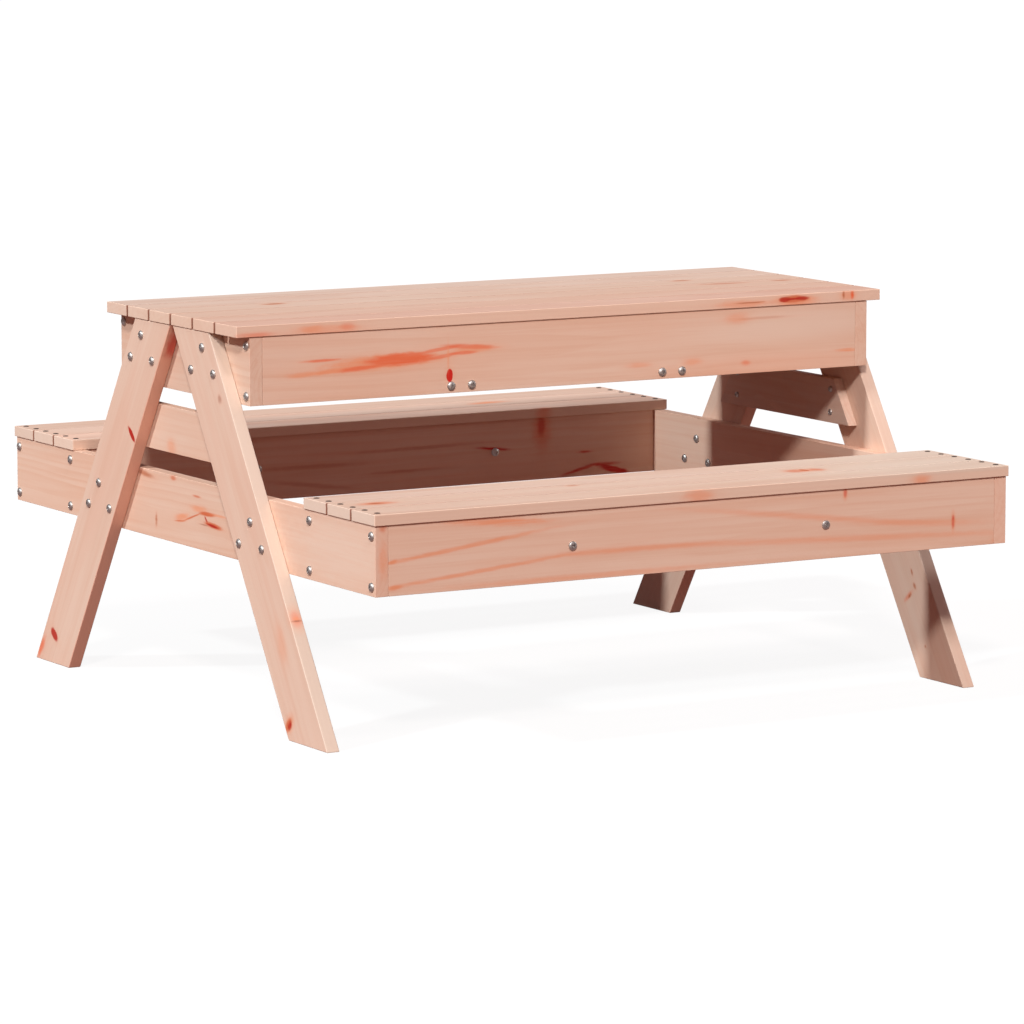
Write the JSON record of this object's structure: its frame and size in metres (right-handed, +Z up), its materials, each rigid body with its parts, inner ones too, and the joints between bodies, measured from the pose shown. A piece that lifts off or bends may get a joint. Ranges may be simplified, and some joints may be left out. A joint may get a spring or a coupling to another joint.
{
  "type": "children's picnic table with sandbox",
  "caption": "Children's wooden picnic table with a bench on each side, leaning legs and a slatted top that lifts off a shallow sandbox.",
  "frame": {"origin": "on the ground, under the middle of the table", "axes": "+Z up, +X along the table and its seats, +Y across the table from the front seat to the back seat"},
  "size_m": [0.9824, 1.0346, 0.5105],
  "materials": {
    "slat_wood": "planed softwood, matt, with rounded edges",
    "board_wood": "planed softwood, matt",
    "leg_wood": "planed softwood, matt",
    "plywood": "sanded softwood plywood",
    "zinc_fastener": "bright zinc plating"
  },
  "bodies": {
    "table": {"back_seat_cross_board_left": "board_wood", "back_seat_cross_board_right": "board_wood", "back_seat_inner_board": "board_wood", "back_seat_outer_board": "board_wood", "back_seat_slat_1": "slat_wood", "back_seat_slat_2": "slat_wood", "back_seat_slat_3": "slat_wood", "brace_screw_left_back_lower": "zinc_fastener", "brace_screw_left_back_upper": "zinc_fastener", "brace_screw_left_front_lower": "zinc_fastener", "brace_screw_left_front_upper": "zinc_fastener", "brace_screw_right_back_lower": "zinc_fastener", "brace_screw_right_back_upper": "zinc_fastener", "brace_screw_right_front_lower": "zinc_fastener", "brace_screw_right_front_upper": "zinc_fastener", "front_seat_cross_board_left": "board_wood", "front_seat_cross_board_right": "board_wood", "front_seat_inner_board": "board_wood", "front_seat_outer_board": "board_wood", "front_seat_slat_1": "slat_wood", "front_seat_slat_2": "slat_wood", "front_seat_slat_3": "slat_wood", "leg_bolt_left_back_inner": "zinc_fastener", "leg_bolt_left_back_outer": "zinc_fastener", "leg_bolt_left_back_top": "zinc_fastener", "leg_bolt_left_front_inner": "zinc_fastener", "leg_bolt_left_front_outer": "zinc_fastener", "leg_bolt_left_front_top": "zinc_fastener", "leg_bolt_right_back_inner": "zinc_fastener", "leg_bolt_right_back_outer": "zinc_fastener", "leg_bolt_right_back_top": "zinc_fastener", "leg_bolt_right_front_inner": "zinc_fastener", "leg_bolt_right_front_outer": "zinc_fastener", "leg_bolt_right_front_top": "zinc_fastener", "leg_brace_left": "board_wood", "leg_brace_right": "board_wood", "leg_left_back": "leg_wood", "leg_left_front": "leg_wood", "leg_right_back": "leg_wood", "leg_right_front": "leg_wood", "sandbox_back_board": "board_wood", "sandbox_end_board_left": "board_wood", "sandbox_end_board_right": "board_wood", "sandbox_floor": "plywood", "sandbox_floor_batten_left": "board_wood", "sandbox_floor_batten_right": "board_wood", "sandbox_front_board": "board_wood", "seat_end_board_left": "board_wood", "seat_end_board_right": "board_wood"},
    "lid": {"lid_batten_left": "board_wood", "lid_batten_middle": "board_wood", "lid_batten_right": "board_wood", "lid_slat_1": "slat_wood", "lid_slat_2": "slat_wood", "lid_slat_3": "slat_wood", "lid_slat_4": "slat_wood", "lid_slat_5": "slat_wood", "lid_slat_6": "slat_wood"}
  },
  "joints": [
    {"name": "lid_lift", "type": "slide", "parent": "table", "child": "lid", "axis": [0, 0, 1], "range_m": [0, 0.25]}
  ]
}
